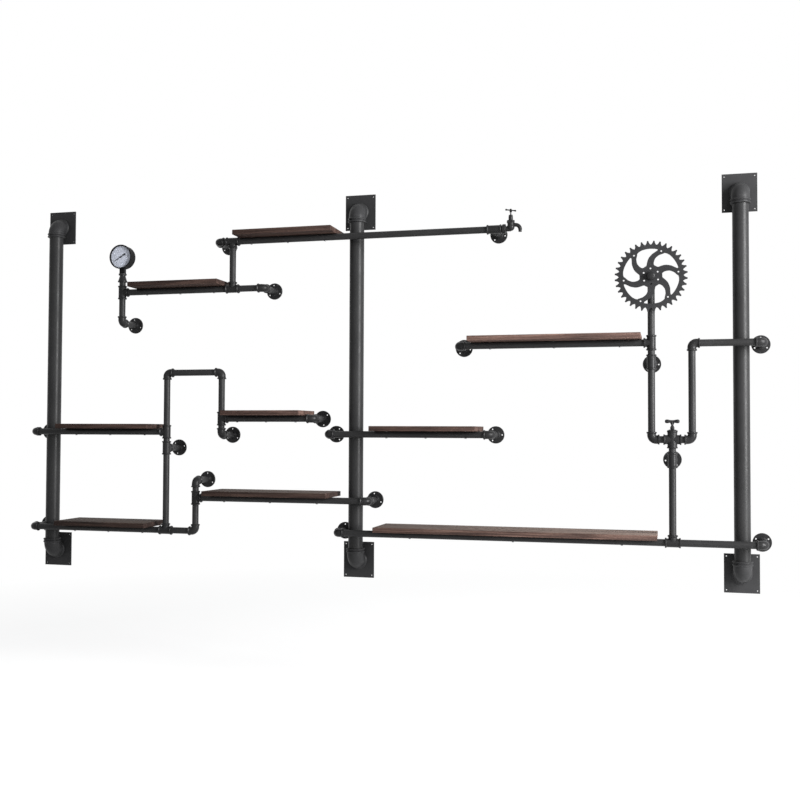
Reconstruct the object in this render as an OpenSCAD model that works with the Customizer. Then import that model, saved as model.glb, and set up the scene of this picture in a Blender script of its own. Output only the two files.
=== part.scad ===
// Wall pipe shelf: three large columns on wall plates, runs of small pipe with beaded fittings,
// nine boards, a pressure gauge, a small tap, a wing valve and a toothed wheel.
// Millimetres. X runs along the wall to the right, Y goes into the wall, Z is up.
// The origin is on the wall face (the plane Y 0), behind the middle column, at its half height.

/* [Columns] */
// Outside diameter of the three columns
column_d = 60.3; // [54:0.1:62]
// Wall thickness of the column tube
column_wall = 3.6; // [2.6:0.1:5]
// Left column, measured from the middle one
column_left_x = -1417.5; // [-1440:0.5:-1395]
// Right column, measured from the middle one
column_right_x = 1516.7; // [1500:0.1:1530]
// Height of each wall plate's centre above and below the half height
plate_rise = 726; // [706:1:760]
// Width of a wall plate
plate_w = 130; // [110:1:150]
// Height of a wall plate
plate_h = 148; // [120:1:152]
// Thickness of a wall plate
plate_t = 5; // [3:0.5:8]
// Diameter of a wall plate's corner holes
plate_hole_d = 4.5; // [4:0.5:8]
// From a plate's side edge to the hole centre
plate_hole_side = 9; // [7:0.5:14]
// From a plate's top or bottom edge to the hole centre
plate_hole_end = 10; // [7:0.5:14]
// Outside diameter of the large elbows
column_elbow_d = 69; // [68:0.5:70]
// Diameter over the bead of the large elbows
column_bead_d = 76; // [73:0.5:80]
// Width of the large bead
column_bead_w = 6.5; // [6:0.5:7]
// Distance between the two rings round the mouth that holds a column
column_ring_step = 11; // [10.6:0.1:14]
// From the corner of a large elbow to the mouth that holds a column
column_mouth = 52.5; // [50:0.5:56]
// From the large elbow's centre to each face
column_reach = 40; // [39:0.5:46]
// Clear length of tube between the large elbow and its plate
column_neck = 7; // [5:0.5:14]

/* [Small pipe] */
// Outside diameter of the small pipe
pipe_d = 26.9; // [25.5:0.1:27.2]
// Wall thickness of the small pipe
pipe_wall = 2.6; // [2:0.1:3.2]
// Radial play between a pipe and its socket
fit_gap = 0.05; // [0.02:0.01:0.1]
// From the wall to the axis of every small run
rail_out = 120; // [114:1:135]

/* [Small fittings] */
// Outside diameter of a tee or an elbow
body_d = 33; // [32.5:0.1:33.6]
// Diameter over the bead of a tee or an elbow
bead_d = 38.5; // [36:0.1:40]
// Width of the small bead
bead_w = 6; // [4.5:0.1:7]
// From a tee's or elbow's centre to each face
reach = 29; // [27:0.5:30]
// Outside diameter of the cross
cross_d = 36; // [35:0.1:37]
// Diameter over the bead of the cross
cross_bead_d = 40; // [38.5:0.1:42]
// From the cross's centre to each face
cross_reach = 33; // [32:0.5:36]
// Visible length of the shortest close nipples
gap_short = 10.2; // [8:0.1:12]
// Visible length of the nipple left of the cross
gap_middle = 13.5; // [10:0.1:18]
// Visible length of the longer close nipples
gap_long = 15.8; // [12:0.1:20]

/* [Wall flanges] */
// Diameter of a wall flange
flange_d = 70; // [66:0.5:74]
// Thickness of the flange plate
flange_t = 6; // [4:0.5:7]
// Height of the flange with its hub
flange_h = 18; // [16:0.5:22]
// Diameter of the hub at the plate
flange_hub_d = 38; // [36:0.5:40]
// Diameter of the circle through the screw holes
flange_pcd = 52; // [50:0.5:54]
// Diameter of the screw holes
flange_hole_d = 5.8; // [4.5:0.1:6.5]
// From the wall to the end of the nipple inside a flange
flange_seat = 5; // [3:0.5:8]

/* [Upper left run] */
// From the middle column's axis to the right end of the top left board
top_left_gap = 66; // [62:1:80]
// From the riser between the two rails to the right end of the gauge rail
gauge_end_out = 143; // [130:1:160]
// Tee beside the tap, at the right end of the top rail
tap_tee_x = 587; // [570:1:600]
// Height of the top rail
top_rail_z = 605.6; // [595:0.1:620]
// Height of the gauge rail
gauge_rail_z = 405.4; // [395:0.1:415]
// Height of the elbow under the gauge
gauge_foot_z = 273; // [260:1:290]

/* [Right run] */
// Riser that carries the toothed wheel
riser_f_x = 1188.5; // [1175:0.5:1200]
// Right end of the two arms past the right column
far_right_x = 1590.4; // [1580:0.1:1610]
// Left end of the long low rail
low_right_end_x = -60; // [-75:1:-55]
// Height of the right rail
right_rail_z = 146.4; // [136:0.1:156]
// Height of the upper arm past the right column
right_arm_z = 142.2; // [132:0.1:156]
// Height of the toothed wheel's centre
wheel_z = 394.6; // [380:0.1:410]
// Height of the cross
cross_z = -220; // [-235:1:-205]
// Height of the long low rail
low_right_z = -606.7; // [-612:0.1:-595]

/* [Middle rail] */
// Left end of the rail with no board
middle_left_x = -101; // [-115:1:-90]
// Right end of the rail with no board
middle_right_x = 575; // [560:1:590]
// Height of the rail with no board
middle_rail_z = -205.4; // [-215:0.1:-195]

/* [Lower left run] */
// Riser that joins the low left rail to the bridge
riser_c_x = -825.5; // [-840:0.5:-815]
// Riser at the left end of the centre rail
riser_d_x = -572.5; // [-585:0.5:-565]
// Riser at the left end of the low centre rail
riser_e_x = -688; // [-700:1:-675]
// From the left column's axis to the elbows past it
left_end_out = 52; // [46:0.5:60]
// Right end of the low centre rail
low_centre_end_x = 70; // [60:1:80]
// Height of the bridge between two risers
bridge_z = 53.8; // [40:0.1:65]
// Height of the centre rail
centre_rail_z = -141.8; // [-150:0.1:-130]
// Height of the left rail
left_rail_z = -198.2; // [-205:0.1:-190]
// Height of the low centre rail
low_centre_z = -476.7; // [-490:0.1:-465]
// From the left column's lower plate up to the flange of the low left rail
low_left_lift = 0.3; // [0.3:0.1:12]

/* [Boards] */
// Thickness of every board
board_t = 20; // [16:0.5:22]
// Depth of every board
board_depth = 200; // [180:1:220]
// From the wall to the back edge of every board
board_back = 5; // [2:0.5:10]
// Length of the top left board
top_left_l = 428; // [300:1:480]
// Length of the middle board
middle_board_l = 427; // [300:1:450]
// Length of the gauge board
gauge_board_l = 412; // [300:1:500]
// Length of the left board
left_board_l = 435; // [300:1:470]
// Length of the centre board
centre_board_l = 342; // [250:1:400]
// Length of the right board
right_board_l = 658; // [500:1:800]
// Length of the low left board
low_left_l = 428; // [300:1:465]
// Length of the low centre board
low_centre_l = 541; // [400:1:550]
// Length of the low right board
low_right_l = 1092; // [800:1:1110]
// Free rail between the top left board and its fitting
top_left_free = 4; // [2:0.5:10]
// Free rail between the middle board and its fitting
middle_board_free = 21; // [10:0.5:60]
// Free rail between the gauge board and its right fitting
gauge_board_free = 6; // [2:0.5:20]
// Free rail between the gauge board and its left fitting
gauge_left_free = 41; // [20:0.5:60]
// Free rail between the left board and its fitting
left_board_free = 22.5; // [10:0.5:40]
// Free rail between the centre board and its fitting
centre_board_free = 2; // [1:0.5:20]
// Free rail between the centre board and its right fitting
centre_end_free = 8.5; // [2:0.5:20]
// Free rail between the right board and its right fitting
right_board_free = 8.5; // [4:0.5:9]
// Free rail between the right board and its left fitting
right_end_free = 19.4; // [4:0.1:40]
// Free rail between the low left board and its fitting
low_left_free = 29.5; // [10:0.5:40]
// Free rail between the low centre board and its fitting
low_centre_free = 37; // [25:0.5:50]
// Free rail between the low right board and its right fitting
low_right_free = 27; // [15:0.5:50]
// Shank diameter of the screws that hold the boards
screw_d = 4.2; // [3.5:0.1:5]
// Head diameter of those screws
screw_head_d = 8.4; // [7:0.1:10]
// Head height of those screws
screw_head_h = 2.6; // [2:0.1:3.5]
// How far the screws go into a board
screw_bite = 14; // [9:0.5:15]

/* [Gauge] */
// Diameter of the gauge case
gauge_case_d = 100; // [90:1:110]
// Depth of the gauge case
gauge_depth = 38; // [34:0.5:42]
// Diameter over the bezel
gauge_bezel_d = 105; // [104:0.5:106]
// Width of the bezel's front ring
gauge_bezel_w = 5.2; // [5:0.1:9]
// From the front of the case back to the ledge that the dial lies on
ledge_depth = 5; // [4.8:0.1:12]
// Wall thickness of the case
gauge_wall = 2; // [1.5:0.1:3]
// Thickness of the glass
glass_t = 2; // [1.5:0.1:3]
// Thickness of the dial plate
dial_t = 1; // [0.6:0.1:1.2]
// Width of the square stem
stem_w = 22; // [20:0.5:24]
// Clear height of the square stem
stem_h = 21; // [16:0.5:26]
// Height of the reducing socket
socket_h = 38; // [36:0.5:44]
// Diameter over the lower bead of the reducing socket
socket_foot_d = 40; // [38:0.5:42]
// Diameter over the upper bead of the reducing socket
socket_top_d = 34; // [32:0.5:36]
// Diameter of the stem's thread
stem_thread_d = 20.8; // [18:0.1:21]
// Distance from the pointer's axis to its tip
pointer_l = 38.6; // [30:0.1:42]
// Direction of the pointer as it stands, from the right, turning up
pointer_turn = 210; // [200:1:225]
// Diameter of the pointer's round tail
pointer_ball_d = 10; // [6:0.5:12]
// Diameter of the pointer's spindle
pointer_shaft_d = 2; // [1.6:0.1:3]

/* [Tap] */
// Clear thread between the tee and the tap's collar
tap_thread_l = 4; // [2:0.5:6]
// Diameter of the tap's collar
tap_collar_d = 38; // [34:0.5:39]
// Length of the tap's collar
tap_collar_l = 14; // [10:0.5:16]
// Diameter of the neck behind the collar
tap_neck_d = 20.8; // [16:0.1:24]
// From the tee to the tap's vertical axis
tap_axis_out = 37; // [36:0.5:40]
// Diameter of the tap's round body
tap_bulb_d = 30.2; // [29:0.1:32]
// Height of the round body's centre over the rail axis
tap_bulb_rise = 6.2; // [5.5:0.1:7]
// Diameter of the way in
tap_way_d = 10.8; // [9:0.1:11.5]
// Diameter of the hole in the seat
tap_seat_d = 8; // [6:0.1:9]
// Outside diameter of the spout
spout_d = 15; // [13.5:0.1:16]
// Diameter of the spout's bore
spout_bore_d = 9.6; // [8:0.1:10.5]
// From the tap's vertical axis to the spout's mouth
spout_out = 37; // [36:0.5:42]
// Straight length of the spout's mouth
spout_mouth_l = 9; // [6:0.5:14]
// Width over the corners of the bonnet's hexagon
tap_hex_w = 31.2; // [28:0.1:34]
// Height of the bonnet's hexagon
tap_hex_h = 10.6; // [8:0.1:13]
// Diameter of the bonnet's neck
tap_bonnet_d = 17.5; // [15:0.1:20]
// Height of the bonnet's neck
tap_bonnet_h = 15.4; // [12:0.1:17]
// Diameter of the gland nut
tap_gland_d = 16; // [14:0.1:18]
// Height of the gland nut
tap_gland_h = 6; // [4:0.1:7]
// How far the bonnet goes into the body
tap_spigot_l = 3.9; // [3:0.1:4.5]
// Diameter of the washer on the jumper
tap_washer_d = 12.8; // [10:0.1:14]
// Thickness of the washer on the jumper
tap_washer_t = 2.4; // [1.8:0.1:2.8]
// Diameter of the jumper's pin
tap_pin_d = 3; // [2.4:0.1:3.4]
// Length of the jumper's pin
tap_pin_l = 2; // [1.5:0.1:2]
// Diameter of the spindle's collar
tap_stop_d = 10; // [8:0.1:12]
// Thickness of the spindle's collar
tap_stop_t = 2.6; // [2.6:0.1:3.2]
// Diameter of the spindle
tap_spindle_d = 5.2; // [4.6:0.1:5.6]
// Play between the tap's moving faces at rest
tap_play = 0.3; // [0.2:0.05:0.4]
// Height of the handle's bar over the rail axis
tap_bar_rise = 73; // [70:0.5:80]
// Distance between the two balls of the handle
tap_bar_l = 41.6; // [36:0.1:50]
// Diameter of the handle's bar
tap_bar_d = 4.7; // [4:0.1:5.5]
// Diameter of the balls on the handle's bar
tap_ball_d = 7.6; // [6.5:0.1:9]
// Turn of the handle as it stands
tap_bar_turn = 40; // [-80:1:80]

/* [Wing valve] */
// Height of the bonnet's flat rim
valve_rim_h = 1; // [0.6:0.1:2]
// Height of the bonnet to the top of its cone
valve_cone_h = 5; // [4:0.1:7]
// Diameter of the cone's top
valve_cone_d = 21; // [18:0.1:26]
// Largest diameter of the pear shaped gland
valve_gland_d = 16; // [13:0.1:18]
// Height of the gland
valve_gland_h = 16; // [12:0.1:17]
// Diameter of the valve's spindle
valve_spindle_d = 5; // [4:0.1:5.6]
// Diameter of the collar under the bonnet
valve_stop_d = 10; // [8:0.1:14]
// Thickness of the collar under the bonnet
valve_stop_t = 3; // [2:0.1:5]
// Play between the valve's moving faces
valve_play = 0.3; // [0.2:0.05:0.5]
// Diameter of the handle's neck
wing_neck_d = 8.8; // [7.5:0.1:10]
// Thickness of the web under the wings
wing_web_t = 6.8; // [5:0.1:9]
// Width of the web where it meets the wings
wing_web_w = 22; // [16:0.5:28]
// Width over the two wings
wing_w = 54; // [46:0.5:60]
// Largest diameter of a wing
wing_d = 14.6; // [12:0.1:16]
// Height of the wings' centre over the cross's centre
wing_rise = 68.7; // [67:0.1:76]

/* [Toothed wheel] */
// Number of teeth
teeth = 36; // [30:1:40]
// Diameter over the tooth tips
wheel_d = 268; // [240:1:290]
// Depth of a tooth
tooth_h = 15; // [12:0.5:20]
// Inside diameter of the toothed ring
ring_d = 208; // [190:1:210]
// Diameter of the solid middle
wheel_hub_d = 84; // [76:1:92]
// Thickness of the wheel
wheel_t = 5; // [4:0.5:8]
// Width of an arm at its narrowest
arm_w = 24.5; // [18:0.5:28]
// Number of arms
arms = 6; // [5:1:6]
// Direction of the first arm at the middle
arm_turn = 33; // [0:1:59]
// How far an arm sweeps back on its way out
arm_sweep = 25.3; // [10:0.1:30]
// Diameter of the small holes
wheel_hole_d = 6.5; // [5:0.1:8]
// Radius of the holes in the middle
hub_hole_r = 29.5; // [26:0.5:32]
// Radius of the holes in the ring
ring_hole_r = 101; // [98:0.5:104]
// Outside diameter of the domed end cap
cap_d = 31.4; // [31:0.1:34]
// Straight length of the end cap
cap_l = 12; // [10:0.5:16]
// Height of the cap's dome
cap_dome = 5.4; // [3:0.1:7]
// Play on each side of the toothed wheel
wheel_play = 0.3; // [0.2:0.05:0.5]

/* [Hidden] */

$fn = 64;
paint = [0.17, 0.17, 0.175];
paint_light = [0.24, 0.24, 0.245];
walnut = [0.31, 0.235, 0.205];
dial_grey = [0.77, 0.77, 0.80];
glass_tint = [0.8, 0.85, 0.9, 0.3];
steel = [0.5, 0.5, 0.5];

// Cuts run past the faces they open by this much
over = 1;
// Share of a body's radius by which bends and branches differ from it, so that edges stay clean
bend_share = 1.015;
branch_share = 0.97;

// Small pipe and its sockets
pipe_r = pipe_d / 2;
pipe_bore_r = pipe_r - pipe_wall;
socket_r = pipe_r + fit_gap;
body_r = body_d / 2;
seat = body_r * bend_share;
grip = reach - seat;
cross_seat = cross_reach - grip;
close = 2 * reach;

// Large pipe and its sockets
column_r = column_d / 2;
column_bore_r = column_r - column_wall;
column_seat = column_elbow_d / 2 * bend_share;
column_y = -plate_t - column_neck - column_reach;
column_xs = [column_left_x, 0, column_right_x];

// Lines that follow from the others
rail_y = -rail_out;
riser_b_x = -top_left_gap - top_left_l - top_left_free - reach;
gauge_board_x = riser_b_x - reach - gauge_board_free;
riser_a_x = gauge_board_x - gauge_board_l - gauge_left_free - reach;
gauge_end_x = riser_b_x + gauge_end_out;
centre_board_x = riser_d_x + reach + centre_board_free;
centre_end_x = centre_board_x + centre_board_l + centre_end_free + reach;
right_board_x = riser_f_x - reach - right_board_free;
right_end_x = right_board_x - right_board_l - right_end_free - reach;
cross_x = riser_f_x + reach + gap_middle + cross_reach;
riser_g_x = cross_x + cross_reach + gap_short + reach;
left_end_x = column_left_x - left_end_out;
low_left_z = plate_h / 2 - plate_rise + flange_d / 2 + low_left_lift;
top_end_x = riser_b_x - close - gap_short;
right_wall_z = right_rail_z - close - gap_long;
cross_wall_z = cross_z - cross_reach - gap_long - reach;
low_wall_z = low_centre_z + close + gap_long;
left_wall_z = left_rail_z - close - gap_short;
centre_foot_z = centre_rail_z - close - gap_short;

// Centre of each tee and elbow as x, z
t1 = [riser_a_x, gauge_rail_z];
t2 = [riser_b_x, gauge_rail_z];
t3 = [riser_b_x, top_rail_z];
t4 = [tap_tee_x, top_rail_z];
t5 = [riser_f_x, right_rail_z];
t6 = [riser_f_x, right_wall_z];
t7 = [cross_x, cross_wall_z];
t8 = [cross_x, low_right_z];
t9 = [riser_e_x, low_centre_z];
t10 = [riser_c_x, low_left_z];
t11 = [riser_c_x, left_wall_z];
t12 = [riser_c_x, left_rail_z];
t13 = [riser_d_x, centre_rail_z];
cross_at = [cross_x, cross_z];
e1 = [riser_a_x, gauge_foot_z];
e2 = [gauge_end_x, gauge_rail_z];
e3 = [top_end_x, top_rail_z];
e4 = [right_end_x, right_rail_z];
e5 = [riser_f_x, cross_z];
e6 = [riser_g_x, cross_z];
e7 = [riser_g_x, right_arm_z];
e8 = [far_right_x, right_arm_z];
e9 = [low_right_end_x, low_right_z];
e10 = [far_right_x, low_right_z];
e11 = [middle_left_x, middle_rail_z];
e12 = [middle_right_x, middle_rail_z];
e13 = [riser_e_x, low_wall_z];
e14 = [low_centre_end_x, low_centre_z];
e15 = [riser_e_x, low_left_z];
e16 = [left_end_x, low_left_z];
e17 = [left_end_x, left_rail_z];
e18 = [riser_c_x, bridge_z];
e19 = [riser_d_x, bridge_z];
e20 = [centre_end_x, centre_rail_z];
e21 = [riser_d_x, centre_foot_z];
wheel_at = [riser_f_x, wheel_z];

// Directions of a fitting's leg in the plane of the wall
to_right = 0;
to_up = -90;
to_left = 180;
to_down = 90;

// Wall elbows with the direction of the leg that lies along the wall
elbows_a = [[e1, to_up], [e2, to_left], [e3, to_right]];
elbows_b = [[e4, to_right], [e8, to_left], [e9, to_right], [e10, to_left], [e11, to_right],
    [e12, to_left]];
elbows_c = [[e13, to_down], [e14, to_left], [e16, to_right], [e17, to_right], [e20, to_left],
    [e21, to_up]];

// Flanges with the direction of their first hole, from the right, turning up
flanges_a = [[e1, 101], [e2, 97], [e3, 90], [t4, -10]];
flanges_b = [[e4, 109], [t6, -4], [e8, 90], [t7, 188], [e9, 90], [e10, 30], [e11, 60], [e12, 0]];
flanges_c = [[e13, 90], [e14, 100], [e16, 90], [t11, 15], [e17, 90], [e20, 40], [e21, 90]];

// Boards as left end, right end and the height of the rail under them
top_left_x = riser_b_x + reach + top_left_free;
middle_board_x = middle_right_x - reach - middle_board_free;
left_board_x = riser_c_x - reach - left_board_free;
low_left_x = riser_c_x - reach - low_left_free;
low_centre_x = riser_e_x + reach + low_centre_free;
low_right_x = cross_x - reach - low_right_free;
span_top_left = [top_left_x, top_left_x + top_left_l, top_rail_z];
span_middle = [middle_board_x - middle_board_l, middle_board_x, middle_rail_z];
span_gauge = [gauge_board_x - gauge_board_l, gauge_board_x, gauge_rail_z];
span_left = [left_board_x - left_board_l, left_board_x, left_rail_z];
span_centre = [centre_board_x, centre_board_x + centre_board_l, centre_rail_z];
span_right = [right_board_x - right_board_l, right_board_x, right_rail_z];
span_low_left = [low_left_x - low_left_l, low_left_x, low_left_z];
span_low_centre = [low_centre_x, low_centre_x + low_centre_l, low_centre_z];
span_low_right = [low_right_x - low_right_l, low_right_x, low_right_z];
spans = [span_top_left, span_middle, span_gauge, span_left, span_centre, span_right,
    span_low_left, span_low_centre, span_low_right];

// Where the screws stand along a board
screw_shares = [0.12, 0.5, 0.88];
screw_r = screw_d / 2;

// Gauge
socket_z = gauge_rail_z + reach + gap_long;
socket_top_z = socket_z + socket_h;
gauge_r = gauge_case_d / 2;
gauge_z = socket_top_z + stem_h + gauge_r;
gauge_back_y = rail_y + gauge_depth / 2;
gauge_front_y = rail_y - gauge_depth / 2;
ledge_w = gauge_wall * 2.5;
dial_y = gauge_front_y + ledge_depth;
pointer_shaft_r = pointer_shaft_d / 2;
pointer_t = dial_t * 0.9;

// Tap, counted from the tee's face on the rail axis
tap_x = tap_tee_x + reach;
tap_spindle_r = tap_spindle_d / 2;
tap_bulb_r = tap_bulb_d / 2;
spout_r = spout_d / 2;
spout_bore_r = spout_bore_d / 2;
spout_bend_r = spout_out / 2;
spout_z = tap_bulb_rise + tap_bulb_r * 0.55;
tap_seat_z = tap_bulb_rise + tap_bulb_r * 0.16;
tap_top_z = tap_bulb_rise + tap_bulb_r * 1.07;
tap_chamber_r = tap_bulb_r * 0.63;

// Valve, counted from the cross's centre
valve_r = valve_spindle_d / 2;
gland_top_z = cross_reach + valve_cone_h + valve_gland_h;
wing_r = wing_d / 2;
wing_low_z = gland_top_z + valve_play;
wing_floor_z = wing_rise - wing_r * 0.6;

// Wheel
wheel_r = wheel_d / 2;
root_r = wheel_r - tooth_h;
ring_r = ring_d / 2;
wheel_hub_r = wheel_hub_d / 2;
cap_r = cap_d / 2;
wheel_face_y = rail_y - reach - wheel_play;
cap_y = wheel_face_y - wheel_t - wheel_play;

// Outline of the teeth: share of the pitch, share of the tooth depth
tooth_shares = [[-0.5, 0], [-0.29, 0.28], [-0.18, 0.6], [-0.1, 1], [0.1, 1], [0.18, 0.6],
    [0.29, 0.28]];

// Outline of an arm: share of the way out, share of the arm's width, share of its sweep
arm_shares = [[0, 1.33, 0], [0.05, 1.1, 0], [0.13, 1.05, 0.02], [0.21, 1.02, 0.07],
    [0.29, 1.02, 0.13], [0.37, 1.02, 0.2], [0.45, 1, 0.28], [0.53, 1, 0.39], [0.61, 1.02, 0.51],
    [0.69, 1.03, 0.62], [0.77, 1.06, 0.77], [0.855, 1.12, 0.91], [0.935, 1.14, 1],
    [0.975, 1.53, 1.09], [1, 2.02, 1.2]];

// Outline of the pointer along +X: share of its length, share of the spindle's diameter
pointer_shares = [[-0.5, 0.6], [0, 0.8], [0.7, 0.55], [1, 0.2]];

// Outline of the gland: share of its radius, share of its height
gland_shares = [[0.85, 0.03], [1, 0.25], [1, 0.44], [0.82, 0.69], [0.55, 0.94], [0.52, 1]];

// Half of the outline of the two wings: share of their half width, share of their radius
wing_shares = [[0, 0.62], [0.3, 0.7], [0.5, 0.9], [0.68, 1], [0.84, 0.94], [0.95, 0.7], [1, 0.3]];

// Small pipe that points up, open at both ends
module tube(l, r = pipe_r, bore_r = pipe_bore_r) {
    difference() {
        cylinder(r = r, h = l);
        translate([0, 0, -over])
            cylinder(r = bore_r, h = l + 2 * over);
    }
}

// Pipe along X from one fitting centre to the next
module pipe_x(from, to, seat_a = seat, seat_b = seat) {
    translate([from[0] + seat_a, rail_y, from[1]])
        rotate([0, 90, 0])
            tube(to[0] - from[0] - seat_a - seat_b);
}

// Pipe along Z from the lower fitting centre to the upper
module pipe_z(from, to, seat_a = seat, seat_b = seat) {
    translate([from[0], rail_y, from[1] + seat_a])
        tube(to[1] - from[1] - seat_a - seat_b);
}

// Outline of one leg of a fitting, with its bead, from height low to height high
module leg_skin(r, top_r, w, low, high) {
    c = w / 4;
    rotate_extrude()
        polygon([[0, low], [r, low], [r, high - w - c], [top_r - c, high - w],
            [top_r, high - w + c], [top_r, high - c], [top_r - c, high], [0, high]]);
}

// Outline of one leg with a second bead, a step behind the one at its mouth
module ringed_leg_skin(r, top_r, w, low, high, step) {
    c = w / 4;
    back = high - step;
    rotate_extrude()
        polygon([[0, low], [r, low], [r, back - w - c], [top_r - c, back - w],
            [top_r, back - w + c], [top_r, back - c], [top_r - c, back], [r, back + c],
            [r, high - w - c], [top_r - c, high - w], [top_r, high - w + c],
            [top_r, high - c], [top_r - c, high], [0, high]]);
}

// Outline of a straight run with a bead at both ends
module run_skin(r, top_r, w, high) {
    c = w / 4;
    rotate_extrude()
        polygon([[0, -high], [top_r - c, -high], [top_r, c - high], [top_r, w - c - high],
            [top_r - c, w - high], [r, w + c - high], [r, high - w - c],
            [top_r - c, high - w], [top_r, high - w + c], [top_r, high - c],
            [top_r - c, high], [0, high]]);
}

// Socket for a pipe, from its floor to past the face
module socket_cut(r, floor, high) {
    translate([0, 0, floor])
        cylinder(r = r, h = high - floor + over);
}

// Quarter bend in the plane of X and Y, between the legs to +X and +Y
module bend(r, at) {
    translate([at, at, 0])
        rotate([0, 0, 180])
            rotate_extrude(angle = 90)
                translate([at, 0])
                    circle(r = r);
}

// Elbow with legs to +X and +Y; with a mouth and a step, its first leg is longer and has two beads
module elbow_shape(r, top_r, w, high, floor, bore_r, hole_r, mouth = 0, step = 0) {
    difference() {
        union() {
            bend(r, floor);
            rotate([0, 90, 0])
                if (step > 0)
                    ringed_leg_skin(r, top_r, w, floor, mouth, step);
                else
                    leg_skin(r, top_r, w, floor, high);
            rotate([-90, 0, 0])
                leg_skin(r, top_r, w, floor, high);
        }
        bend(bore_r, floor);
        rotate([0, 90, 0])
            socket_cut(hole_r, floor, max(high, mouth));
        rotate([-90, 0, 0])
            socket_cut(hole_r, floor, high);
    }
}

module small_elbow() {
    elbow_shape(body_r, bead_d / 2, bead_w, reach, seat, pipe_bore_r, socket_r);
}

// Elbow whose second leg goes to the wall
module wall_elbow(at, turn) {
    translate([at[0], rail_y, at[1]])
        rotate([0, turn, 0])
            small_elbow();
}

// Elbow whose two legs lie along the wall
module flat_elbow(at, turn) {
    translate([at[0], rail_y, at[1]])
        rotate([0, turn, 0])
            rotate([90, 0, 0])
                small_elbow();
}

// Tee with its run along X and its branch to +Y
module tee_shape() {
    difference() {
        union() {
            rotate([0, 90, 0])
                run_skin(body_r, bead_d / 2, bead_w, reach);
            rotate([-90, 0, 0])
                leg_skin(body_r * branch_share, bead_d / 2, bead_w, 0, reach);
        }
        rotate([0, 90, 0])
            cylinder(r = pipe_bore_r, h = 2 * reach + 2 * over, center = true);
        rotate([-90, 0, 0])
            cylinder(r = pipe_bore_r * branch_share, h = reach + over);
        rotate([0, 90, 0])
            socket_cut(socket_r, seat, reach);
        rotate([0, -90, 0])
            socket_cut(socket_r, seat, reach);
        rotate([-90, 0, 0])
            socket_cut(socket_r, seat, reach);
    }
}

// Tee whose branch goes to the wall
module wall_tee(at, turn) {
    translate([at[0], rail_y, at[1]])
        rotate([0, turn, 0])
            tee_shape();
}

// Tee whose branch lies along the wall
module flat_tee(at, turn) {
    translate([at[0], rail_y, at[1]])
        rotate([0, turn, 0])
            rotate([90, 0, 0])
                tee_shape();
}

// Flange on the wall with three screw holes, and its hub
module flange(at, turn) {
    r = flange_d / 2;
    c = flange_t / 6;
    hub_r = flange_hub_d / 2;
    translate([at[0], 0, at[1]])
        rotate([90, 0, 0])
            difference() {
                rotate_extrude()
                    polygon([[0, 0], [r, 0], [r, flange_t - c], [r - c, flange_t],
                        [hub_r, flange_t], [hub_r - 2 * c, flange_t + c],
                        [hub_r - 2 * c, flange_h - c], [hub_r - 3 * c, flange_h],
                        [0, flange_h]]);
                translate([0, 0, -over])
                    cylinder(r = pipe_bore_r, h = flange_h + 2 * over);
                socket_cut(socket_r, flange_seat, flange_h);
                for (k = [0:2])
                    rotate([0, 0, turn + 120 * k])
                        translate([flange_pcd / 2, 0, -over])
                            cylinder(d = flange_hole_d, h = flange_t + 2 * over);
            }
}

module wall_nipple(at) {
    translate([at[0], -flange_seat, at[1]])
        rotate([90, 0, 0])
            tube(rail_out - seat - flange_seat);
}

// Column tube between its two large elbows
module column(x) {
    half = plate_rise - column_seat;
    translate([x, column_y, -half])
        tube(2 * half, column_r, column_bore_r);
}

// Board on its rail, with blind holes for the screws
module board(span) {
    z = span[2] + pipe_r;
    l = span[1] - span[0];
    color(walnut)
        difference() {
            translate([span[0], -board_back - board_depth, z])
                cube([l, board_depth, board_t]);
            for (s = screw_shares)
                translate([span[0] + l * s, rail_y, z - over])
                    cylinder(r = screw_r + fit_gap, h = screw_bite + over);
        }
}

// Holes that the screws of one board need in its rail
module screw_holes(span) {
    for (s = screw_shares)
        translate([span[0] + (span[1] - span[0]) * s, rail_y, span[2] - pipe_d])
            cylinder(r = screw_r + fit_gap, h = 2 * pipe_d);
}

// Screws of one board, from under the rail into the board
module screws(span) {
    l = pipe_d + screw_bite;
    tip = screw_r * 1.4;
    for (s = screw_shares)
        translate([span[0] + (span[1] - span[0]) * s, rail_y, span[2] - pipe_r])
            rotate_extrude()
                polygon([[0, -screw_head_h], [screw_head_d / 3, -screw_head_h],
                    [screw_head_d / 2, -screw_head_h / 2], [screw_head_d / 2, 0],
                    [screw_r, 0], [screw_r, l - tip], [0, l]]);
}

module column_left() {
    color(paint)
        column(column_left_x);
}

module column_middle() {
    color(paint)
        column(0);
}

module column_right() {
    color(paint)
        column(column_right_x);
}

module column_elbows() {
    color(paint)
        for (x = column_xs) {
            translate([x, column_y, plate_rise])
                rotate([0, 90, 0])
                    elbow_shape(column_elbow_d / 2, column_bead_d / 2, column_bead_w,
                        column_reach, column_seat, column_bore_r, column_r + fit_gap,
                        column_mouth, column_ring_step);
            translate([x, column_y, -plate_rise])
                rotate([0, -90, 0])
                    elbow_shape(column_elbow_d / 2, column_bead_d / 2, column_bead_w,
                        column_reach, column_seat, column_bore_r, column_r + fit_gap,
                        column_mouth, column_ring_step);
        }
}

module column_nipples() {
    color(paint)
        for (x = column_xs, z = [-plate_rise, plate_rise])
            translate([x, -plate_t, z])
                rotate([90, 0, 0])
                    tube(-column_y - column_seat - plate_t, column_r, column_bore_r);
}

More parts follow.
